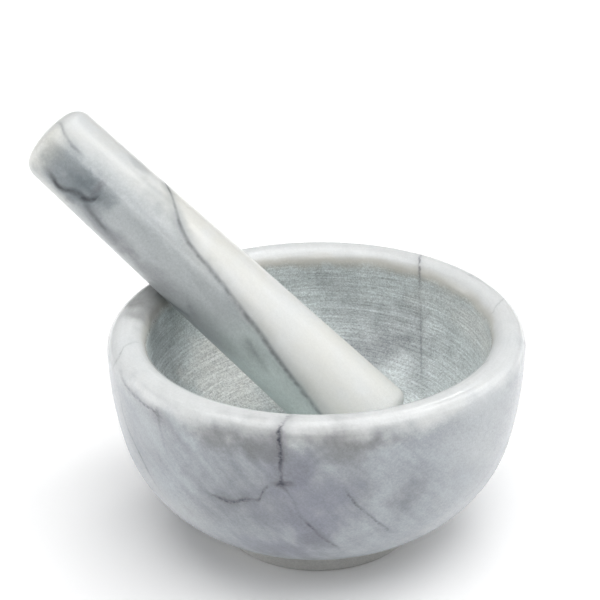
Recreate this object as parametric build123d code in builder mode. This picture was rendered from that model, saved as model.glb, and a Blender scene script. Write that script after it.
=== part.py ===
from build123d import *

import os
from math import acos, cos, degrees, radians, sin

# Kitchen mortar and pestle, each turned from one piece of veined marble.
#
# Frame: +Z up, origin at the centre of the foot's flat underside.
# The pestle leans on the rim at the -X side, with its grinding end in the bowl.
# All sizes are in millimetres.

# ---- mortar, outside -------------------------------------------------------
bowl_radius = 63.5            # widest radius of the wall, just under the rim
bowl_height = 69.0
upper_wall_radius = 118.0     # arc from the widest point downwards
upper_wall_sweep = 13.5       # degrees
lower_wall_radius = 40.0      # arc that tucks in under the bowl
foot_radius = 31.0
foot_edge_round = 0.6

# ---- mortar, inside --------------------------------------------------------
rim_thickness = 11.2
rim_round = 5.0               # inner and outer edge of the rim
cavity_shift = 0.7            # the cavity is turned slightly off centre, towards +X
straight_wall_end = 57.8      # height where the upright inner wall starts to curve
knuckle_radius = 32.0         # inner curve from wall to floor
floor_height = 19.0           # lowest point of the cavity

# ---- pestle ----------------------------------------------------------------
pestle_length = 142.0
grinding_radius = 15.0
grinding_dome_radius = 26.5
grinding_edge_round = 4.0
handle_radius = 12.7
handle_dome_radius = 32.0
handle_edge_round = 5.2

# ---- how the pestle rests --------------------------------------------------
tip_place = (20.7, -1.1, 28.9)    # middle of the grinding end's dome
lean_heading = 158.0              # degrees from +X, seen from above
lean_elevation = 38.0             # degrees above level

# ---- derived ---------------------------------------------------------------
widest_height = bowl_height - rim_round
cavity_radius = bowl_radius - rim_thickness
knuckle_centre = cavity_radius - knuckle_radius
wall_depth = straight_wall_end - floor_height
# the floor arc is centred on the axis and runs smoothly into the knuckle
floor_radius = (knuckle_centre**2 + wall_depth**2 - knuckle_radius**2) / (
    2 * (wall_depth - knuckle_radius)
)
floor_centre_height = floor_height + floor_radius
floor_sweep = degrees(acos((floor_centre_height - straight_wall_end) / (floor_radius - knuckle_radius)))
knuckle_sweep = 90 - floor_sweep

lower_wall_centre = bowl_radius - upper_wall_radius + (
    (upper_wall_radius - lower_wall_radius) * cos(radians(upper_wall_sweep))
)
lower_wall_end = degrees(acos((foot_radius - lower_wall_centre) / lower_wall_radius))
lower_wall_sweep = lower_wall_end - upper_wall_sweep


# ---- mortar: outer form, off-centre cavity, rounded rim ---------------------
with BuildPart() as mortar:
    with BuildSketch(Plane.XZ):
        with BuildLine():
            upper_wall = JernArc(
                (bowl_radius, widest_height), (0, -1), upper_wall_radius, -upper_wall_sweep
            )
            lower_wall = JernArc(upper_wall @ 1, upper_wall % 1, lower_wall_radius, -lower_wall_sweep)
            outer_rim = JernArc((bowl_radius, widest_height), (0, 1), rim_round, 90)
            Polyline(lower_wall @ 1, (foot_radius, 0), (0, 0), (0, bowl_height), outer_rim @ 1)
        make_face()
    revolve(axis=Axis.Z)

    cavity_section = Plane.XZ.move(Location((cavity_shift, 0, 0)))
    with BuildSketch(cavity_section):
        with BuildLine():
            floor = JernArc((0, floor_height), (1, 0), floor_radius, floor_sweep)
            knuckle = JernArc(floor @ 1, floor % 1, knuckle_radius, knuckle_sweep)
            inner_wall = Line(knuckle @ 1, (cavity_radius, bowl_height - rim_round))
            inner_rim = JernArc(inner_wall @ 1, (0, 1), rim_round, -90)
            Polyline(inner_rim @ 1, (0, bowl_height), (0, floor_height))
        make_face()
    revolve(axis=Axis((cavity_shift, 0, 0), (0, 0, 1)), mode=Mode.SUBTRACT)

    foot_edge = mortar.edges().filter_by(GeomType.CIRCLE).group_by(Axis.Z)[0]
    fillet(foot_edge, foot_edge_round)


# ---- pestle: plain tapered rod, domed and rounded at both ends --------------
lean_direction = Vector(
    cos(radians(lean_elevation)) * cos(radians(lean_heading)),
    cos(radians(lean_elevation)) * sin(radians(lean_heading)),
    sin(radians(lean_elevation)),
)
# half section in the upright plane of the lean: local X across the rod, local Y along it
section_normal = lean_direction.cross(Vector(0, 0, 1)).normalized()
across_rod = lean_direction.cross(section_normal)
pestle_section = Plane(origin=tip_place, x_dir=across_rod, z_dir=across_rod.cross(lean_direction))

with BuildPart() as pestle:
    with BuildSketch(pestle_section) as half_section:
        with BuildLine():
            grinding_end = CenterArc(
                (0, grinding_dome_radius), grinding_dome_radius, -90,
                90 - degrees(acos(grinding_radius / grinding_dome_radius)),
            )
            handle_end = CenterArc(
                (0, pestle_length - handle_dome_radius), handle_dome_radius, 90,
                degrees(acos(handle_radius / handle_dome_radius)) - 90,
            )
            Line(grinding_end @ 1, handle_end @ 1)
            Line(handle_end @ 0, grinding_end @ 0)
        make_face()
        fillet(half_section.vertices().sort_by(Axis.X)[-1], grinding_edge_round)
        fillet(half_section.vertices().sort_by(Axis.Y)[-2], handle_edge_round)
    revolve(axis=Axis(tip_place, lean_direction))


os.makedirs("parts", exist_ok=True)
mortar.part.label = "mortar"
pestle.part.label = "pestle"
export_step(mortar.part, "parts/mortar.step")
export_step(pestle.part, "parts/pestle.step")
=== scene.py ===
import random
from math import acos, asin, atan2, cos, degrees, radians, sin, sqrt, tau

import bpy
import numpy as np
from mathutils import Matrix, Vector


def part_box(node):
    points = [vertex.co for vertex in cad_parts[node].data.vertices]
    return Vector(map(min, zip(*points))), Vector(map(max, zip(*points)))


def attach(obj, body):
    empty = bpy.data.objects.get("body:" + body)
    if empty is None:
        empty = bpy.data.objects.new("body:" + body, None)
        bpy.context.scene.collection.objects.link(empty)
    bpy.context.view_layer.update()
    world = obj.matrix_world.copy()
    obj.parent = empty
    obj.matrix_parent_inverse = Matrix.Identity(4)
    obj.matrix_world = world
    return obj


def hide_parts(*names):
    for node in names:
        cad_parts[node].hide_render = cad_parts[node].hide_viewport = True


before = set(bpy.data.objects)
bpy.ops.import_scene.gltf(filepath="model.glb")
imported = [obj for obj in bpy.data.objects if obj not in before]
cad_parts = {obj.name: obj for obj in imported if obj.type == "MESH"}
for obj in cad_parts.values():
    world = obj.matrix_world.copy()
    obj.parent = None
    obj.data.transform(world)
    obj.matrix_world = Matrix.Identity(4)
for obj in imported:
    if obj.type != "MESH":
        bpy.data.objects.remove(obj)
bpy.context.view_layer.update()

# A mortar turned from veined marble, with its pestle leaning over the back-left rim.

MM = 0.001                      # lengths below are in millimetres unless they say metres, as the scene is

# ---------------------------------------------------------------- the mortar's shape
bowl_low, bowl_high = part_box("mortar")
bowl_radius = (bowl_high.x - bowl_low.x) / 2 / MM
bowl_height = bowl_high.z / MM
upper_wall_radius = 118.0       # the tall, almost straight part of the outside
upper_wall_sweep = 13.5         # degrees of it
lower_wall_radius = 40.0        # the round under it, down to the foot
foot_radius = 31.0
foot_edge_round = 0.6
foot_corner_round = 0.5         # where the wall meets the foot
rim_thickness = 11.2
rim_round = 5.0
cavity_shift = 0.7              # the hollow is turned this far off the outside's axis
straight_wall_end = 57.8
knuckle_radius = 32.0
floor_height = 19.0

# ---------------------------------------------------------------- the pestle's shape
pestle_length = 142.0
grinding_radius = 15.0
grinding_dome_radius = 26.5
grinding_edge_round = 4.0
handle_radius = 12.7
handle_dome_radius = 32.0
handle_edge_round = 5.2
tip_place = Vector((20.7, -1.1, 28.9))
lean_heading = 158.0
lean_elevation = 38.0

# ---------------------------------------------------------------- the lathe marks
groove_pitch = 1.05             # fine tool marks inside the bowl
groove_depth = 0.07
groove_half_width = 0.3
groove_wander = 0.25
first_groove = 7.0              # way from the crest
groove_end_gap = 6              # and how far from the middle of the floor they stop
deep_grooves = ((22.4, 0.11), (23.5, 0.08), (26.2, 0.09), (33.5, 0.07))   # way from the crest, and depth
bowl_polish = 0.054             # how deep the polishing of the bowl's outside goes
stick_polish = 0.07             # and that of the pestle

# ---------------------------------------------------------------- the meshes
bowl_steps = 200                # steps round
pestle_steps = 176
foot_face_step = 2.0            # and the spacing of the rings, here and below
foot_edge_step = 0.2
foot_side_step = 0.8
foot_corner_step = 0.1
wall_step = 1.1
rim_outer_step = 0.5
crest_step = 0.6
rim_inner_step = 0.4
inside_step = 0.3
pestle_step = 0.75
pestle_edge_step = 0.4
bowl_middle = 0.5               # radius of the first ring, round the point in the middle
pestle_middle = 0.3
hollow_gap = 0.5                # degrees short of the axis at which the last arc stops
tip_gap = 0.7
handle_gap = 0.6


# ================================================================ shapes
def stroke(start, end, step):
    """Points along a straight line, the first one left out."""
    count = max(1, round(sqrt((end[0] - start[0]) ** 2 + (end[1] - start[1]) ** 2) / step))
    return [(start[0] + (end[0] - start[0]) * i / count, start[1] + (end[1] - start[1]) * i / count)
            for i in range(1, count + 1)]


def arc(centre, radius, start, end, step):
    """Points along an arc from one angle to another, in degrees, the first one left out."""
    count = max(4, round(radius * radians(abs(end - start)) / step))
    angles = [radians(start + (end - start) * i / count) for i in range(1, count + 1)]
    return [(centre[0] + radius * cos(a), centre[1] + radius * sin(a)) for a in angles]


def mortar_outside():
    """Half section from the middle of the foot's face to the crest of the rim."""
    widest = bowl_height - rim_round
    upper_centre = (bowl_radius - upper_wall_radius, widest)
    sweep = radians(upper_wall_sweep)
    reach = upper_wall_radius - lower_wall_radius
    lower_centre = (upper_centre[0] + reach * cos(sweep), upper_centre[1] - reach * sin(sweep))
    # The small round in the corner touches the foot's side and the wall above it.
    corner_x = foot_radius + foot_corner_round
    corner_angle = acos((corner_x - lower_centre[0]) / (lower_wall_radius + foot_corner_round))
    corner = (corner_x, lower_centre[1] - (lower_wall_radius + foot_corner_round) * sin(corner_angle))
    points = [(bowl_middle, 0.0)]
    points += stroke(points[-1], (foot_radius - foot_edge_round, 0.0), foot_face_step)
    points += arc((foot_radius - foot_edge_round, foot_edge_round), foot_edge_round, -90, 0, foot_edge_step)
    points += stroke(points[-1], (foot_radius, corner[1]), foot_side_step)
    points += arc(corner, foot_corner_round, 180, 180 - degrees(corner_angle), foot_corner_step)
    points += arc(lower_centre, lower_wall_radius, -degrees(corner_angle), -upper_wall_sweep, wall_step)
    points += arc(upper_centre, upper_wall_radius, -upper_wall_sweep, 0, wall_step)
    points += arc((bowl_radius - rim_round, widest), rim_round, 0, 90, rim_outer_step)
    return points + stroke(points[-1], (bowl_radius - rim_thickness / 2, bowl_height), crest_step)


def mortar_inside():
    """Half section from the crest of the rim to the middle of the floor."""
    mouth = bowl_radius - rim_thickness
    knuckle = (mouth - knuckle_radius, straight_wall_end)
    drop = knuckle[1] - floor_height
    floor_radius = (knuckle[0] ** 2 + drop ** 2 - knuckle_radius ** 2) / (2 * (drop - knuckle_radius))
    floor_centre = (0.0, floor_height + floor_radius)
    join = degrees(atan2(floor_centre[1] - knuckle[1], knuckle[0]))
    points = [(bowl_radius - rim_thickness / 2, bowl_height)]
    points += stroke(points[-1], (mouth + rim_round, bowl_height), crest_step)
    points += arc((mouth + rim_round, bowl_height - rim_round), rim_round, 90, 180, rim_inner_step)
    points += stroke(points[-1], (mouth, straight_wall_end), inside_step)
    points += arc(knuckle, knuckle_radius, 0, -join, inside_step)
    points += arc(floor_centre, floor_radius, -join, hollow_gap - 90, inside_step)
    return points[1:]


def pestle_section():
    """Half section from the grinding tip to the middle of the handle's end."""
    def end(body_radius, dome_radius, edge_round):
        # The edge round touches the side, taken as parallel to the axis here, and the dome.
        across = body_radius - edge_round
        along = dome_radius - sqrt((dome_radius - edge_round) ** 2 - across ** 2)
        return across, along, degrees(asin(across / (dome_radius - edge_round)))

    across, along, sweep = end(grinding_radius, grinding_dome_radius, grinding_edge_round)
    points = [(pestle_middle, 0.0)]
    points += arc((0, grinding_dome_radius), grinding_dome_radius, tip_gap - 90, sweep - 90, pestle_step)
    points += arc((across, along), grinding_edge_round, sweep - 90, 0, pestle_edge_step)
    across, along, sweep = end(handle_radius, handle_dome_radius, handle_edge_round)
    points += stroke(points[-1], (handle_radius, pestle_length - along), pestle_step)
    points += arc((across, pestle_length - along), handle_edge_round, 0, 90 - sweep, pestle_edge_step)
    dome_centre = (0, pestle_length - handle_dome_radius)
    return points + arc(dome_centre, handle_dome_radius, 90 - sweep, 90 - handle_gap, pestle_step)


def turned(name, radius, height, shift, place):
    """One closed body turned about its own Z axis. The arrays go ring by ring, then step by step round."""
    rings, steps = radius.shape
    angle = np.arange(steps) * tau / steps
    rows = np.stack([radius * np.cos(angle) + shift[:, None], radius * np.sin(angle), height], -1)
    ends = [[shift[0], 0, height[0].mean()], [shift[-1], 0, height[-1].mean()]]
    points = np.concatenate([rows.reshape(-1, 3), ends]) * MM
    first, last = rings * steps, rings * steps + 1
    faces = []
    for i in range(rings - 1):
        for j in range(steps):
            k = (j + 1) % steps
            faces.append((i * steps + j, i * steps + k, (i + 1) * steps + k, (i + 1) * steps + j))
    top = (rings - 1) * steps
    for j in range(steps):
        k = (j + 1) % steps
        faces.append((first, k, j))
        faces.append((last, top + j, top + k))
    mesh = bpy.data.meshes.new(name)
    mesh.from_pydata([tuple(p) for p in points], [], faces)
    mesh.transform(place)
    mesh.polygons.foreach_set("use_smooth", [True] * len(mesh.polygons))
    mesh.update()
    obj = bpy.data.objects.new(name, mesh)
    bpy.context.scene.collection.objects.link(obj)
    return obj


def path_length(points):
    """How far along the section each point lies."""
    steps = np.hypot(*np.diff(np.array(points), axis=0).T)
    return np.concatenate([[0.0], np.cumsum(steps)])


def soft_step(value, low, high):
    """0 up to low, 1 from high on, and a smooth rise between them."""
    t = np.clip((value - low) / (high - low), 0, 1)
    return t * t * (3 - 2 * t)


def store(obj, name, values):
    """One number for each vertex, which the material reads."""
    layer = obj.data.attributes.new(name, "FLOAT", "POINT")
    layer.data.foreach_set("value", np.asarray(values, np.float32))


def groove_map(way, angle, rng):
    """How deep the grinding wheel's marks are, along the way down from the crest and round the bowl."""
    depth = np.zeros((len(way), len(angle)))
    marks = list(deep_grooves)
    at = first_groove
    while at < way[-1] - groove_end_gap:
        marks.append((at, groove_depth * rng.uniform(0.25, 1.3)))
        at += groove_pitch * rng.uniform(0.75, 1.35)
    for at, deep in marks:
        # each mark wanders a little and fades in and out on its way round
        lobe = rng.choice((1, 2, 3))
        turn = rng.uniform(0, tau)
        wander = groove_wander * np.sin(lobe * angle + rng.uniform(0, tau))
        fade = 0.65 + 0.35 * np.sin((lobe + 1) * angle + turn)
        depth += deep * fade * np.exp(-((way[:, None] - at - wander) / groove_half_width) ** 2)
    ground = soft_step(way, first_groove, first_groove + 3.0) * soft_step(way[-1] - way, 4.0, 10.0)
    return depth * ground[:, None]


def per_vertex(values):
    """One value for each ring, spread over the ring's vertices and the two middle points."""
    return np.concatenate([np.repeat(values, bowl_steps), values[[0, -1]]])


def make_mortar(rng):
    outside = mortar_outside()
    section = np.array(outside + mortar_inside())
    way = path_length(section)
    way -= way[len(outside) - 1]                            # from the crest, and less than 0 outside
    angle = np.arange(bowl_steps) * tau / bowl_steps
    run = np.gradient(section, axis=0)
    run /= np.hypot(*run.T)[:, None]
    inward = np.stack([-run[:, 1], run[:, 0]], -1)          # into the stone
    depth = groove_map(way, angle, rng) * (way > 0)[:, None]
    # hand polishing leaves the outside very slightly uneven
    swell = 0.03 * np.sin(3 * angle + 0.8) + 0.024 * np.sin(5 * angle + 2.0)
    polished = soft_step(-way, 4.0, 20.0) * soft_step(section[:, 1], 7.0, 20.0)
    depth = depth + polished[:, None] * (bowl_polish + swell)
    radius = section[:, :1] + inward[:, :1] * depth
    height = section[:, 1:] + inward[:, 1:] * depth
    shift = cavity_shift * soft_step(way, -0.6, 0.6)
    bowl = turned("mortar_bowl", radius, height, shift, Matrix.Identity(4))
    store(bowl, "way", per_vertex(way))
    store(bowl, "groove", np.concatenate([(depth * (way > 0)[:, None]).ravel(), [0, 0]]))
    return bowl


def lean_axes():
    """The pestle's own axes: X faces up off its upper side, Y goes across, Z runs up to the handle."""
    heading, rise = radians(lean_heading), radians(lean_elevation)
    along = Vector((cos(rise) * cos(heading), cos(rise) * sin(heading), sin(rise)))
    across = along.cross(Vector((0, 0, 1))).normalized()
    up = across.cross(along)
    return Matrix((up, across, along)).transposed()


def make_pestle():
    section = np.array(pestle_section())
    angle = np.arange(pestle_steps) * tau / pestle_steps
    radius = section[:, :1] * np.ones(pestle_steps)
    height = section[:, 1:] * np.ones(pestle_steps)
    along = section[:, 1:] / pestle_length
    # turned by hand, so not perfectly round
    uneven = 0.05 * np.sin(2 * angle + 5 * along) + 0.03 * np.sin(3 * angle - 9 * along)
    radius = radius - np.maximum(stick_polish + uneven, 0) * soft_step(section[:, :1], 2, 10)
    place = Matrix.Translation(tip_place * MM) @ lean_axes().to_4x4()
    return turned("pestle_stick", radius, height, np.zeros(len(section)), place)


# ================================================================ shader building
small_scale = 0.5               # a noise's scale is 1 over its size in millimetres
fine_scale = 1.1
crystal_scale = 2.4
vein_fade = 2.0                 # millimetres past its last point that a vein takes to end
stone_relief = 0.8
marble_ior = 1.49
glow_weight = 0.25              # light goes a little way into marble
glow_depth = 2.5


def linear(level):
    """An sRGB level from 0 to 255 as a linear one from 0 to 1."""
    level = level / 255
    return level / 12.92 if level <= 0.04045 else ((level + 0.055) / 1.055) ** 2.4


def tone(red, green, blue):
    """A display colour as the shader's linear colour."""
    return linear(red), linear(green), linear(blue), 1.0


class Stone:
    """A material under construction: each method adds a node and gives back its output."""

    def __init__(self, name):
        self.material = bpy.data.materials.new(name)
        self.material.use_nodes = True
        self.nodes = self.material.node_tree.nodes
        self.links = self.material.node_tree.links
        self.shader = self.nodes["Principled BSDF"]

    def put(self, socket, value):
        if isinstance(value, bpy.types.NodeSocket):
            self.links.new(value, socket)
        else:
            socket.default_value = value

    def math(self, operation, a, b=0.0):
        node = self.nodes.new("ShaderNodeMath")
        node.operation = operation
        self.put(node.inputs[0], a)
        self.put(node.inputs[1], b)
        return node.outputs[0]

    def less(self, a, b):
        return self.math("SUBTRACT", a, b)

    def total(self, *values):
        result = values[0]
        for value in values[1:]:
            result = self.math("ADD", result, value)
        return result

    def product(self, *values):
        result = values[0]
        for value in values[1:]:
            result = self.math("MULTIPLY", result, value)
        return result

    def step(self, value, low, high, out_low=0.0, out_high=1.0, smooth=True):
        """A ramp from out_low to out_high as the value goes from low to high, which may run downwards."""
        node = self.nodes.new("ShaderNodeMapRange")
        node.interpolation_type = "SMOOTHSTEP" if smooth else "LINEAR"
        self.put(node.inputs["Value"], value)
        if low < high:
            bounds = (low, high, out_low, out_high)
        else:
            bounds = (high, low, out_high, out_low)
        for name, number in zip(("From Min", "From Max", "To Min", "To Max"), bounds):
            node.inputs[name].default_value = number
        return node.outputs["Result"]

    def mix(self, factor, a, b, blend="MIX"):
        node = self.nodes.new("ShaderNodeMix")
        node.data_type = "RGBA"
        node.blend_type = blend
        # a colour mix has its factor on socket 0 and its colours on sockets 6, 7 and, out, 2
        self.put(node.inputs[0], factor)
        self.put(node.inputs[6], a)
        self.put(node.inputs[7], b)
        return node.outputs[2]

    def noise(self, place, scale, detail, roughness=0.5, distortion=0.0):
        node = self.nodes.new("ShaderNodeTexNoise")
        self.put(node.inputs["Vector"], place)
        node.inputs["Scale"].default_value = scale
        node.inputs["Detail"].default_value = detail
        node.inputs["Roughness"].default_value = roughness
        node.inputs["Distortion"].default_value = distortion
        return node.outputs["Fac"]

    def ripple(self, place, scale, detail, roughness=0.5, distortion=0.0):
        """Noise about 0."""
        return self.less(self.noise(place, scale, detail, roughness, distortion), 0.5)

    def cells(self, place, scale):
        """A number about 0 for each of the stone's crystals."""
        node = self.nodes.new("ShaderNodeTexVoronoi")
        self.put(node.inputs["Vector"], place)
        node.inputs["Scale"].default_value = scale
        return self.less(self.split(node.outputs["Color"])[0], 0.5)

    def texture(self, place, wide_scale, middle_scale):
        """The stone's own noise, from wide clouds down to its crystals."""
        wide = self.ripple(place, wide_scale, 2.0, 0.5, 0.5)
        middle = self.ripple(place, middle_scale, 2.0, 0.45, 0.3)
        small = self.ripple(place, small_scale, 2.0)
        fine = self.ripple(place, fine_scale, 2.0, 0.6)
        speckle = self.total(self.product(self.cells(place, crystal_scale), 0.6),
                             self.ripple(place, crystal_scale, 2.0, 0.7))
        return wide, middle, small, fine, speckle

    def split(self, vector):
        node = self.nodes.new("ShaderNodeSeparateXYZ")
        self.put(node.inputs[0], vector)
        return node.outputs[0], node.outputs[1], node.outputs[2]

    def join(self, x, y, z):
        node = self.nodes.new("ShaderNodeCombineXYZ")
        for socket, value in zip(node.inputs, (x, y, z)):
            self.put(socket, value)
        return node.outputs[0]

    def attribute(self, name):
        """A number that the mesh stores at each vertex."""
        node = self.nodes.new("ShaderNodeAttribute")
        node.attribute_name = name
        return node.outputs["Fac"]

    def place(self, origin=(0, 0, 0), turn=(0, 0, 0)):
        """Position in millimetres, in axes that start at origin and are turned."""
        coordinates = self.nodes.new("ShaderNodeTexCoord").outputs["Object"]
        node = self.nodes.new("ShaderNodeMapping")
        node.vector_type = "TEXTURE"
        self.put(node.inputs["Vector"], coordinates)
        node.inputs["Location"].default_value = origin
        node.inputs["Rotation"].default_value = turn
        node.inputs["Scale"].default_value = (MM, MM, MM)
        return node.outputs["Vector"]

    def curve(self, value, points):
        """A number that follows points, both in 0..1, as value goes from 0 to 1."""
        node = self.nodes.new("ShaderNodeFloatCurve")
        line = node.mapping.curves[0]
        line.points[0].location = points[0]
        line.points[-1].location = points[-1]
        for point in points[1:-1]:
            line.points.new(*point)
        for point in line.points:
            point.handle_type = "AUTO_CLAMPED"
        node.mapping.update()
        self.put(node.inputs["Value"], value)
        return node.outputs[0]

    def follow(self, along, points, which):
        """The points' value number which, as along goes from the first point to the last."""
        points = sorted(points)
        starts, values = [p[0] for p in points], [p[which] for p in points]
        low, high = min(values) - 0.1, max(values) + 0.1
        span = starts[-1] - starts[0]
        scaled = [((a - starts[0]) / span, (v - low) / (high - low)) for a, v in zip(starts, values)]
        share = self.step(along, starts[0], starts[-1], smooth=False)
        return self.step(self.curve(share, scaled), 0.0, 1.0, low, high, smooth=False)

    def vein(self, along, across, points, width, sway):
        """As dark as the points say on a line through them, and 0 beyond its width, all in millimetres."""
        ends = [p[0] for p in points]
        offset = self.less(across, self.follow(along, points, 1))
        line = self.step(self.math("ABSOLUTE", self.total(offset, sway)), width, 0.0)
        start = self.step(along, min(ends) - vein_fade, min(ends))
        stop = self.step(along, max(ends) + vein_fade, max(ends))
        return self.product(line, start, stop, self.follow(along, points, 2))

    def wild_veins(self, place, thickness):
        """Thin wandering lines all through the stone, stronger here and there."""
        field = self.ripple(place, 0.018, 2.0, 0.4, 0.5)
        presence = self.step(self.noise(place, 0.045, 1.0, 0.55), 0.4, 0.6, 0.12, 1.0)
        return self.product(self.step(self.math("ABSOLUTE", field), thickness, 0.0), presence)

    def patch(self, along, across, centre, size, sway):
        """1 in the middle of a soft oval patch and 0 outside it."""
        a = self.math("DIVIDE", self.less(along, centre[0]), size[0])
        c = self.math("DIVIDE", self.less(across, centre[1]), size[1])
        reach = self.math("SQRT", self.total(self.product(a, a), self.product(c, c)))
        return self.step(self.total(reach, sway), 1.35, 0.3)

    def finish(self, colour, roughness, height, relief):
        """The shader's inputs; height is in millimetres, and relief is how strongly it shows."""
        shader = self.shader
        self.put(shader.inputs["Base Color"], colour)
        self.put(shader.inputs["Roughness"], roughness)
        shader.inputs["IOR"].default_value = marble_ior
        shader.inputs["Subsurface Weight"].default_value = glow_weight
        shader.inputs["Subsurface Radius"].default_value = (1.0, 0.95, 0.85)
        shader.inputs["Subsurface Scale"].default_value = glow_depth * MM
        bump = self.nodes.new("ShaderNodeBump")
        bump.inputs["Distance"].default_value = MM
        self.put(bump.inputs["Strength"], relief)
        self.put(bump.inputs["Height"], height)
        self.put(shader.inputs["Normal"], bump.outputs["Normal"])
        return self.material


# ================================================================ materials
milk = tone(195, 197, 197)
cream = tone(196, 196, 191)
cool_grey = tone(164, 169, 174)
slate_grey = tone(139, 144, 150)
# violet grey of the wall, also used as painted shade at the front of it
violet_grey_and_painted_shade = tone(131, 133, 149)
# pale grey for the bowl's paler clouds; low on the wall it is painted light, standing in for light thrown
# up from the floor
mist_and_painted_light = tone(186, 189, 191)
# beige grey of the rim's inner rounding, darkened there as painted shade
warm_grey_and_painted_shade = tone(186, 185, 179)
teal_grey = tone(184, 191, 191)
pale_teal = tone(202, 208, 208)
chalk = tone(226, 227, 224)
foot_grey = tone(196, 195, 191)
ash = tone(164, 169, 171)
sage = tone(186, 196, 193)
slate_teal = tone(104, 113, 118)
# smoky grey of the veins' halos and dark clouds, also used as painted shade on the bowl
smoke_and_painted_shade = tone(98, 98, 104)
# dark grey of the bowl's sooty clouds, also used as painted shadow
soot_and_painted_shadow = tone(104, 103, 101)
ink = tone(52, 54, 66)
deep_teal = tone(44, 49, 56)

# Roughness. A surface stays on one side of 0.27 wherever it can, because a surface that crosses it shows
# a faint line in a denoised render.
rim_roughness = 0.17
wall_roughness = 0.23
ground_roughness = 0.75         # where the stone is ground and not polished
handle_roughness = 0.31         # under the wax
grinding_end_roughness = 0.48
wax_weight = 0.2
wax_roughness = 0.12

bowl_girth = 60.0               # the radius at which degrees round the bowl become millimetres
stick_girth = handle_radius     # and the same for the pestle

# Veins of the bowl, as in the photo: (how it runs, points, width, halo width, halo darkness). Each point
# is (degrees round from the front, way from the crest, darkness), and a way less than 0 is outside.
# "down" veins are followed by their way, "round" ones by their angle.
bowl_veins = (
    # the crack from the rim down the front
    ("down", (
        (-6.6, 3.4, 0.15), (-7.8, 0.6, 0.3), (-9.0, -2.6, 0.5), (-9.5, -6.0, 0.75),
        (-9.4, -10.0, 1.0), (-9.1, -14.0, 0.8), (-9.3, -18.0, 0.45), (-9.3, -22.0, 0.8),
    ), 1.0, 4.8, 0.65),
    # its branch to the left
    ("round", (
        (-7.4, -21.8, 0.5), (-9.4, -22.2, 0.7), (-12.2, -23.0, 0.15), (-14.2, -25.2, 0.6),
        (-16.4, -29.2, 0.5), (-19.6, -29.7, 0.75), (-24.2, -31.6, 0.75), (-27.0, -31.2, 0.6),
        (-31.4, -30.4, 0.15),
    ), 1.25, 4.2, 0.4),
    # its fainter run down to the foot
    ("down", (
        (-9.0, -23.0, 0.5), (-6.4, -28.0, 0.15), (-4.4, -34.6, 0.25), (-2.0, -38.2, 0.6),
        (0.0, -41.8, 0.35), (3.4, -46.4, 0.4), (6.0, -49.5, 0.15),
    ), 1.1, 4.0, 0.2),
    # a short one to the right of that
    ("down", (
        (6.8, -24.3, 0.15), (9.4, -29.0, 0.5), (11.4, -32.0, 0.35), (14.4, -35.8, 0.4),
        (20.0, -42.7, 0.3),
    ), 0.9, 3.0, 0.12),
    # across the top of the wall on the left
    ("round", (
        (-66.0, -5.6, 0.15), (-59.4, -7.4, 0.3), (-52.2, -8.3, 0.4), (-47.2, -8.7, 0.45),
        (-45.0, -9.6, 0.3),
    ), 0.9, 3.0, 0.3),
    # down from the end of that one
    ("down", (
        (-45.6, -8.2, 0.35), (-44.8, -14.1, 0.15), (-43.5, -20.0, 0.1),
    ), 1.1, 5.0, 0.2),
    # down the left side
    ("down", (
        (-66.0, -14.0, 0.1), (-64.4, -20.8, 0.3), (-61.0, -26.0, 0.4), (-58.0, -29.7, 0.45),
        (-55.0, -35.6, 0.3), (-50.5, -41.5, 0.1),
    ), 1.2, 3.5, 0.2),
    # over the rim on the left
    ("down", (
        (-71.4, -8.0, 0.2), (-71.6, -4.4, 0.3), (-73.4, -2.4, 0.25), (-76.8, -0.6, 0.2),
        (-79.4, 2.2, 0.15),
    ), 0.9, 2.5, 0.12),
    # over the rim on the right
    ("down", (
        (108.4, -4.8, 0.2), (103.4, -1.0, 0.25), (101.4, 1.6, 0.2), (98.5, 3.8, 0.15),
    ), 0.8, 2.2, 0.1),
    # down the back wall of the hollow
    ("down", (
        (145.5, -6.0, 0.3), (144.6, -3.0, 0.3), (144.0, 0.6, 0.35), (142.6, 2.8, 0.5),
        (140.8, 7.0, 0.4), (140.2, 12.4, 0.3), (139.8, 17.3, 0.2), (138.8, 22.4, 0.35),
        (137.4, 27.2, 0.4), (135.2, 31.7, 0.35), (132.0, 36.2, 0.3), (128.0, 40.3, 0.15),
    ), 1.0, 3.4, 0.3),
)

# Soft spots painted on the bowl, which are stone tones and, where noted below, painted light and shade:
# (degrees round, way, half width, half height, strength).
# Pale clouds. The three low on the wall (way -42 to -54) are painted light that lifts the shaded lower wall
# as light from the floor would; the rest make the sides of the wall paler.
bowl_mist_and_painted_light = (
    (66.0, -14.0, 24.0, 26.0, 0.4), (44.0, -16.0, 13.0, 16.0, 0.35),
    (50.0, -42.0, 18.0, 14.0, 0.35), (-74.0, -16.0, 15.0, 20.0, 0.4),
    (-50.0, -12.0, 9.0, 12.0, 0.3), (-52.0, -48.0, 22.0, 13.0, 0.55),
    (50.0, -54.0, 24.0, 9.0, 0.4),
)
# Violet-grey clouds in the wall. The large one at the front middle (-3, -33) is also painted shade,
# darkening the front of the wall, which faces away from the lamps.
bowl_violet_and_painted_shade = (
    (-3.0, -33.0, 13.0, 18.0, 0.6), (-8.0, -18.0, 8.0, 8.0, 0.4), (-18.0, -52.0, 14.0, 8.0, 0.3),
)
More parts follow.
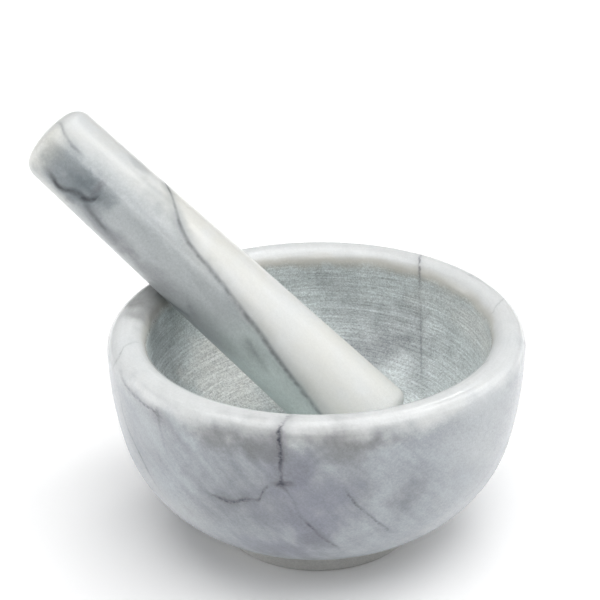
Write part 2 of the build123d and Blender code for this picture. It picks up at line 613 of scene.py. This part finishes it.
# Sooty clouds. Most are dark stone under the rim, but the two on the left inner rim (-118 and -101) are
# painted shadow of the pestle lying above them.
bowl_soot_and_painted_shadow = (
    (-27.0, -10.5, 11.0, 4.0, 0.55), (-14.0, -12.0, 8.0, 4.5, 0.45), (7.5, -11.0, 8.5, 5.0, 0.5),
    (15.0, -10.0, 10.0, 2.2, 0.3), (-46.0, -10.0, 3.5, 3.0, 0.25), (-16.0, -2.5, 3.5, 2.0, 0.15),
    (-118.0, 3.5, 30.0, 7.0, 0.4), (-101.0, 2.0, 8.0, 4.0, 0.3), (4.0, -6.5, 13.0, 3.5, 0.3),
    (-16.0, -7.0, 8.0, 3.0, 0.2),
)
# Dark clouds. Most are smoky stone. The wide one over the front of the wall (-8, -30) is painted shade
# where the front faces away from the lamps. The one on the left of the hollow (-108, 22) is partly smoky
# stone and partly the pestle's painted shadow. Those low in the back of the hollow (150 to 155) are painted
# shade.
bowl_smoke_and_painted_shade = (
    (24.0, -29.0, 10.0, 5.0, 0.3), (-6.0, -17.1, 6.0, 5.0, 0.2), (-29.0, -34.0, 7.0, 5.0, 0.25),
    (-2.0, -45.0, 10.0, 6.0, 0.25), (-12.0, -33.0, 8.0, 8.0, 0.15), (175.4, 14.0, 8.0, 4.0, 0.2),
    (-108.0, 22.0, 14.0, 16.0, 0.35), (132.0, 41.0, 14.0, 9.0, 0.2), (150.0, 26.0, 30.0, 8.0, 0.3),
    (152.0, 38.0, 20.0, 9.0, 0.2), (-8.0, -30.0, 33.0, 25.0, 0.27), (155.0, 36.0, 14.0, 8.0, 0.35),
)
bowl_chalk = ((-137.0, 39.0, 23.0, 20.0, 0.9), (102.0, 14.0, 36.0, 7.0, 0.5))


def mortar_marble():
    m = Stone("mortar_marble")
    place = m.place()
    x, y, z = m.split(place)
    angle = m.math("ARCTAN2", x, m.product(y, -1.0))
    across = m.product(angle, bowl_girth)
    way = m.attribute("way")

    wide, middle, small, fine, speckle = m.texture(place, wide_scale=0.035, middle_scale=0.11)
    # the stone's layers, which fall from the upper left to the lower right
    along_layer = m.total(m.product(x, 0.035), m.product(z, -0.045))
    through_layer = m.total(m.product(x, 0.24), m.product(z, 0.19))
    stretched = m.join(along_layer, m.product(y, 0.08), through_layer)
    layers = m.ripple(stretched, 1.0, 3.0, 0.6)

    # ground inside below the polished rim, and on the foot's face
    edge = m.total(way, m.product(middle, 5.0), m.product(small, 1.5), m.product(speckle, 1.2))
    inside = m.step(edge, 6.5, 10.5)
    ground = m.math("MAXIMUM", inside, m.step(z, 0.4, 0.15))

    # body colour of the polished outside: clouds of grey under a milky rim
    cloud = m.total(m.product(wide, 1.4), middle, m.product(small, 0.3), m.product(layers, 1.2))
    wall = m.mix(m.step(cloud, -0.9, 0.7), slate_grey, cool_grey)
    pale = m.total(m.step(edge, -14.0, -2.0), m.product(middle, 0.5), m.product(layers, 0.18))
    body = m.mix(m.step(pale, 0.1, 1.0), wall, milk)
    body = m.mix(m.product(m.step(z, 9.0, 6.5), 0.8), body, foot_grey)

    # body colour of the ground inside
    hollow = m.mix(m.step(m.total(wide, m.product(middle, 0.7)), -0.22, 0.25), teal_grey, pale_teal)
    # a beige band round the rim's inner rounding, made darker than the crest as painted shade where the
    # rounding turns from the light
    body = m.mix(m.step(m.total(way, m.product(middle, 3.0)), 3.5, 7.0), body, warm_grey_and_painted_shade)
    body = m.mix(inside, body, hollow)

    sway = m.total(m.product(middle, 3.0), small)
    sharp_sway = m.total(m.product(middle, 0.9), m.product(small, 1.4), m.product(fine, 0.9))
    knot_field = m.total(m.product(middle, 0.4), m.product(small, 0.7), m.product(fine, 0.8))
    knots = m.step(knot_field, -0.2, 0.2, 0.3, 1.3)
    drift = m.product(m.total(middle, m.product(small, 0.12), m.product(layers, 0.2)), 1.7)

    def tint_spots(body, spots, colour):
        for angle_at, way_at, half_width, half_height, strength in spots:
            centre = (radians(angle_at) * bowl_girth, way_at)
            spot = m.patch(across, way, centre, (half_width, half_height), drift)
            body = m.mix(m.product(spot, strength), body, colour)
        return body

    def vein(runs, points, width, wobble):
        if runs == "down":
            line = [(w, radians(a) * bowl_girth, dark) for a, w, dark in points]
            return m.vein(way, across, line, width, wobble)
        line = [(radians(a) * bowl_girth, w, dark) for a, w, dark in points]
        return m.vein(across, way, line, width, wobble)

    # these spots include painted light low on the wall, and painted shade and shadow, as noted where they
    # are listed
    body = tint_spots(body, bowl_mist_and_painted_light, mist_and_painted_light)
    body = tint_spots(body, bowl_violet_and_painted_shade, violet_grey_and_painted_shade)
    body = tint_spots(body, bowl_soot_and_painted_shadow, soot_and_painted_shadow)
    body = tint_spots(body, bowl_smoke_and_painted_shade, smoke_and_painted_shade)
    body = tint_spots(body, bowl_chalk, chalk)
    for runs, points, width, halo_width, halo in bowl_veins:
        body = m.mix(m.product(vein(runs, points, halo_width, sway), halo), body, smoke_and_painted_shade)
    for runs, points, width, halo_width, halo in bowl_veins:
        body = m.mix(m.product(vein(runs, points, width, sharp_sway), knots), body, ink)
    # the back and the near part of the hollow, which the photo doesn't show, have veins of their own
    far_side = m.math("MAXIMUM", m.product(m.step(y, 5.0, 35.0), m.step(way, 0.5, -1.5)),
                      m.product(m.step(y, -5.0, -30.0), m.step(way, 1.5, 4.0)))
    body = m.mix(m.product(m.wild_veins(place, 0.012), far_side, knots, 0.6), body, ink)
    body = m.mix(m.product(m.wild_veins(place, 0.05), m.product(far_side, 0.2)), body, smoke_and_painted_shade)

    # lathe streaks and crystal grain, much stronger where the stone is ground
    stretched = m.join(m.product(x, 0.1), m.product(y, 0.1), m.product(way, 1.7))
    streak = m.ripple(stretched, 1.0, 3.0, 0.65)
    shade_in = m.total(1.0, m.product(speckle, 0.65), m.product(fine, 0.3), streak,
                       m.product(m.attribute("groove"), 2.4))
    on_rim = m.step(m.math("ABSOLUTE", way), 12.0, 7.0)
    mottle = m.total(m.product(speckle, 0.22), m.product(fine, 0.2))
    shade_out = m.total(1.0, m.product(mottle, m.less(1.0, m.product(on_rim, 0.6))),
                        m.product(streak, on_rim, 0.14), m.product(layers, 0.16))
    shade = m.total(m.product(shade_in, ground), m.product(shade_out, m.less(1.0, ground)))
    body = m.mix(1.0, body, m.join(shade, shade, shade), "MULTIPLY")

    polish = m.step(way, -16.0, -7.0, wall_roughness, rim_roughness)
    roughness = m.total(m.math("MAXIMUM", polish, m.product(ground, ground_roughness)),
                        m.product(middle, 0.06), m.product(speckle, 0.02))
    height = m.total(m.product(m.total(m.product(speckle, 0.10), m.product(streak, 0.10)), ground),
                     m.product(small, 0.012))
    return m.finish(body, roughness, height, stone_relief)


far_side_way = radians(130)     # round the pestle from its upper side

# Veins of the pestle, as in the photo: (points, width, halo width, halo darkness). Each point is
# (millimetres from the grinding tip, degrees round from the upper side, darkness).
stick_veins = (
    # the long one, from the handle's upper side to the grinding end
    ((
        (108.0, 44.0, 0.3), (106.0, 34.0, 0.6), (101.7, 15.0, 0.65), (97.0, -5.0, 0.5),
        (92.0, -23.0, 0.65), (86.7, -34.5, 0.65), (80.7, -40.2, 0.55), (74.6, -43.5, 0.5),
        (67.4, -49.0, 0.5), (57.0, -56.0, 0.55), (37.9, -72.2, 0.6), (21.4, -85.2, 0.5),
        (10.0, -94.0, 0.3),
    ), 1.2, 4.5, 0.6),
    # the dark one across the handle
    ((
        (133.0, -97.0, 0.3), (129.2, -102.0, 0.8), (127.1, -105.5, 1.0), (124.8, -102.5, 1.0),
        (123.2, -96.0, 0.9), (120.7, -91.0, 1.0), (118.0, -89.0, 1.0), (116.1, -82.0, 1.0),
        (115.0, -75.0, 0.3),
    ), 2.2, 5.5, 0.6),
    # a faint one at the handle's end
    ((
        (139.5, -29.0, 0.2), (138.2, -33.0, 0.4), (135.5, -40.0, 0.35), (131.8, -44.5, 0.45),
        (128.0, -45.0, 0.2),
    ), 1.0, 3.0, 0.5),
    # along the lower edge from the dark one
    ((
        (116.0, -97.0, 0.5), (110.5, -103.0, 0.55), (103.0, -107.0, 0.25),
    ), 2.0, 5.5, 0.6),
    # on the lower edge, above the rim
    ((
        (90.0, -146.0, 0.1), (83.0, -139.0, 0.3), (77.0, -130.0, 0.5), (71.0, -120.0, 0.3),
    ), 1.5, 5.0, 0.4),
    # a short one down in the bowl
    ((
        (53.0, -78.0, 0.1), (50.6, -81.0, 0.3), (45.1, -87.0, 0.2), (41.0, -92.0, 0.1),
    ), 1.3, 4.0, 0.3),
)

# Where the milky side of the pestle gives way to the grey one, as (millimetres from the tip, degrees
# round); lower down it is the long vein itself.
grey_border = (
    (142.0, -46.0), (134.0, -36.0), (126.0, -26.0), (112.0, -24.0), (100.0, -21.0), (92.1, -20.8),
    (84.3, -33.2), (72.4, -43.5), (55.7, -57.5), (37.9, -72.2), (21.4, -85.2), (10.0, -94.0),
)

# Clouds of the pestle: (millimetres from the tip, degrees round, half length, half width, strength).
stick_slate = (
    (123.0, -90.0, 6.0, 5.0, 0.6), (119.5, -84.0, 4.0, 6.0, 0.6), (128.0, -68.0, 10.0, 5.0, 0.5),
    (115.5, -72.0, 7.0, 5.0, 0.6), (130.0, -92.0, 6.0, 4.0, 0.3), (102.0, -12.0, 9.0, 3.0, 0.35),
    (113.0, 8.0, 6.0, 2.5, 0.3), (94.0, -26.0, 9.0, 3.0, 0.3),
)
stick_smoke = (
    (108.0, -106.0, 12.0, 4.0, 0.45), (77.0, -128.0, 12.0, 4.0, 0.25),
    (48.0, -84.0, 7.0, 3.0, 0.25), (84.0, -106.0, 12.0, 5.0, 0.35),
    (60.0, -112.0, 12.0, 5.0, 0.25), (116.9, -69.0, 1.4, 4.5, 0.55),
)
stick_mist = (
    (139.0, -82.0, 6.5, 10.0, 0.75), (137.0, -58.0, 5.0, 5.0, 0.5),
    (132.0, -130.0, 14.0, 5.0, 0.4),
)


def pestle_marble():
    m = Stone("pestle_marble")
    place = m.place(tip_place * MM, lean_axes().to_euler("XYZ"))
    up, side, along = m.split(place)
    across = m.product(m.math("ARCTAN2", side, up), stick_girth)

    wide, middle, small, fine, speckle = m.texture(place, wide_scale=0.05, middle_scale=0.12)
    sway = m.total(m.product(middle, 2.5), m.product(small, 0.8))
    sharp_sway = m.total(middle, m.product(small, 0.5), m.product(fine, 0.15))
    knot_field = m.total(m.product(middle, 0.5), m.product(small, 0.7), m.product(fine, 0.25))
    knots = m.step(knot_field, -0.25, 0.25, 0.5, 1.2)
    # the stone's layers run nearly along the pestle
    slant = m.total(side, m.product(along, -0.1))
    stretched = m.join(m.product(up, 0.2), m.product(slant, 0.28), m.product(along, 0.045))
    layers = m.ripple(stretched, 1.0, 3.0, 0.6)
    drift = m.product(m.total(middle, m.product(small, 0.3)), 1.8)

    def vein(points, width, wobble):
        line = [(s, radians(a) * stick_girth, dark) for s, a, dark in points]
        return m.vein(along, across, line, width, wobble)

    def tint_spots(body, spots, colour):
        for at, angle_at, half_length, half_width, strength in spots:
            centre = (at, radians(angle_at) * stick_girth)
            spot = m.patch(along, across, centre, (half_length, half_width), drift)
            body = m.mix(m.product(spot, strength), body, colour)
        return body

    # milky white on one side, grey on the other
    border = m.follow(along, [(s, radians(a) * stick_girth) for s, a in grey_border], 1)
    beyond = m.total(m.less(across, border), m.product(middle, 5.0))
    crisp = m.step(along, 86.0, 62.0)
    grey_side = m.total(m.product(m.step(beyond, 1.2, -1.5), crisp),
                        m.product(m.step(beyond, 2.0, -5.5), m.less(1.0, crisp)))
    cloud = m.total(m.product(wide, 2.0), m.product(middle, 1.2))
    white = m.mix(m.step(cloud, -0.5, 0.6), cream, milk)
    white = m.mix(m.product(m.step(along, 80.0, 40.0), 0.15), white, chalk)
    white = m.mix(m.product(m.step(along, 95.0, 120.0), 0.35), white, cool_grey)
    grey = m.mix(m.step(m.total(along, m.product(middle, 30.0)), 70.0, 45.0), ash, sage)
    body = m.mix(m.product(grey_side, 0.9), white, grey)
    body = tint_spots(body, stick_mist, cream)
    body = tint_spots(body, stick_slate, slate_teal)
    body = tint_spots(body, stick_smoke, smoke_and_painted_shade)

    for points, width, halo_width, halo in stick_veins:
        body = m.mix(m.product(vein(points, halo_width, sway), halo), body, slate_teal)
    for points, width, halo_width, halo in stick_veins:
        body = m.mix(m.product(vein(points, width, sharp_sway), knots), body, deep_teal)
    # the side that the photo doesn't show has veins of its own
    away = m.total(m.product(up, cos(far_side_way)), m.product(side, sin(far_side_way)))
    far_side = m.step(away, 2.0, 8.0)
    body = m.mix(m.product(m.wild_veins(place, 0.014), far_side, knots, 0.6), body, ink)
    body = m.mix(m.product(m.wild_veins(place, 0.06), m.product(far_side, 0.25)), body, smoke_and_painted_shade)

    # polished at the handle, dull towards the grinding end
    dull = m.step(along, 105.0, 45.0)
    ground = m.step(along, 15.0, 8.0)
    mottle = m.total(m.product(speckle, 0.1), m.product(fine, 0.16))
    shade = m.total(1.0, m.product(mottle, m.total(0.6, grey_side)), m.product(speckle, ground, 0.05),
                    m.product(layers, m.total(0.12, m.product(grey_side, 0.3))))
    body = m.mix(1.0, body, m.join(shade, shade, shade), "MULTIPLY")
    roughness = m.total(handle_roughness, m.product(dull, grinding_end_roughness - handle_roughness),
                        m.product(ground, 0.12), m.product(middle, 0.05))
    height = m.total(m.product(speckle, m.total(0.004, m.product(dull, 0.012), m.product(ground, 0.05))),
                     m.product(small, 0.012))
    # a thin clear wax, which shows the strip light as a fine line
    m.shader.inputs["Coat Weight"].default_value = wax_weight
    m.shader.inputs["Coat Roughness"].default_value = wax_roughness
    return m.finish(body, roughness, height, stone_relief)


white_light = (1.0, 1.0, 1.0, 1.0)
paper_white = 0.9
paper_roughness = 0.9
paper_relief = 0.2
glow_start, glow_full = 350.0, 1100.0     # millimetres from the bowl's axis
paper_glow = 0.9


def floor_paper():
    m = Stone("floor_paper")
    place = m.place()
    fibre = m.ripple(place, 0.6, 4.0, 0.6)
    shade = m.total(paper_white, m.product(fibre, 0.01))
    material = m.finish(m.join(shade, shade, shade), paper_roughness, m.product(fibre, 0.01), paper_relief)
    m.shader.inputs["Subsurface Weight"].default_value = 0.0
    m.shader.inputs["Specular IOR Level"].default_value = 0.1
    # the paper is lit from behind beyond the object, as a studio's white sweep is
    x, y, z = m.split(place)
    reach = m.math("SQRT", m.total(m.product(x, x), m.product(y, y)))
    m.put(m.shader.inputs["Emission Color"], white_light)
    m.put(m.shader.inputs["Emission Strength"], m.step(reach, glow_start, glow_full, 0.0, paper_glow))
    return material


# ================================================================ the studio
floor_reach = 6.0               # metres from the middle to an edge
floor_cuts = 16
floor_drop = 0.05 * MM          # the floor lies this far under the foot
softboxes = (
    # name, bearing and rise in degrees, distance, width and length in metres, watts, roll in degrees
    ("overhead_softbox", 150, 82, 1.2, 1.5, 1.5, 18.5, 0),
    ("right_softbox", 80, 24, 1.2, 1.0, 0.7, 4.0, 0),
    ("left_softbox", -86, 14, 1.2, 1.0, 0.7, 5.0, 0),
    ("glint_softbox", 68, 52, 1.3, 0.3, 0.6, 1.8, 0),
    ("rear_softbox", 20, 49, 1.3, 0.45, 0.12, 1.2, 0),
    ("front_softbox", 174, 42, 2.0, 1.6, 1.2, 5.2, 0),
    ("strip_softbox", -178, 37.4, 1.6, 0.34, 0.1, 1.0, -38),
)
world_brightness = 0.22
camera_back, camera_height = 517.36, 331.01     # from the bowl's axis and from the floor
camera_pitch, camera_yaw, camera_roll = 26.154, -0.523, -0.988
camera_lens, camera_sensor = 114.74, 36.0


def make_floor():
    steps = [-floor_reach + 2 * floor_reach * i / floor_cuts for i in range(floor_cuts + 1)]
    places = [(x, y, -floor_drop) for y in steps for x in steps]
    row = floor_cuts + 1
    faces = [(j * row + i, j * row + i + 1, (j + 1) * row + i + 1, (j + 1) * row + i)
             for j in range(floor_cuts) for i in range(floor_cuts)]
    mesh = bpy.data.meshes.new("studio_floor")
    mesh.from_pydata(places, [], faces)
    mesh.update()
    floor = bpy.data.objects.new("studio_floor", mesh)
    bpy.context.scene.collection.objects.link(floor)
    return floor


def softbox(name, bearing, rise, distance, width, length, strength, roll):
    """A soft light aimed at the bowl. Bearing 0 is straight behind it and goes round by the right."""
    bearing, rise = radians(bearing), radians(rise)
    way_out = Vector((sin(bearing) * cos(rise), cos(bearing) * cos(rise), sin(rise)))
    target = Vector((0, 0, bowl_height * MM / 2))
    light = bpy.data.lights.new(name, "AREA")
    light.shape = "RECTANGLE"
    light.size, light.size_y = width, length
    light.energy = strength
    lamp = bpy.data.objects.new(name, light)
    lamp.location = target + way_out * distance
    facing = way_out.to_track_quat("Z", "Y").to_matrix()
    lamp.rotation_euler = (facing @ Matrix.Rotation(radians(roll), 3, "Z")).to_euler()
    bpy.context.scene.collection.objects.link(lamp)


def make_world(brightness):
    world = bpy.data.worlds.new("studio_air")
    world.use_nodes = True
    background = world.node_tree.nodes["Background"]
    background.inputs["Color"].default_value = white_light
    background.inputs["Strength"].default_value = brightness
    bpy.context.scene.world = world


def make_camera():
    camera = bpy.data.cameras.new("studio_camera")
    camera.sensor_width = camera_sensor
    camera.lens = camera_lens
    camera.clip_start, camera.clip_end = 0.01, 20.0
    holder = bpy.data.objects.new("studio_camera", camera)
    place = Matrix.Translation(Vector((0, -camera_back, camera_height)) * MM)
    heading = Matrix.Rotation(radians(-camera_yaw), 4, "Z")
    tilt = Matrix.Rotation(radians(90 - camera_pitch), 4, "X")
    holder.matrix_world = place @ heading @ tilt @ Matrix.Rotation(radians(camera_roll), 4, "Z")
    bpy.context.scene.collection.objects.link(holder)
    bpy.context.scene.camera = holder


# ================================================================ the scene
bowl = make_mortar(random.Random(7))
bowl.data.materials.append(mortar_marble())
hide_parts("mortar")
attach(bowl, "mortar")

stick = make_pestle()
stick.data.materials.append(pestle_marble())
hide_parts("pestle")
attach(stick, "pestle")

floor = make_floor()
floor.data.materials.append(floor_paper())

make_world(world_brightness)
for box in softboxes:
    softbox(*box)
make_camera()
bpy.context.scene.view_settings.view_transform = "Standard"
bpy.context.scene.cycles.use_denoising = True
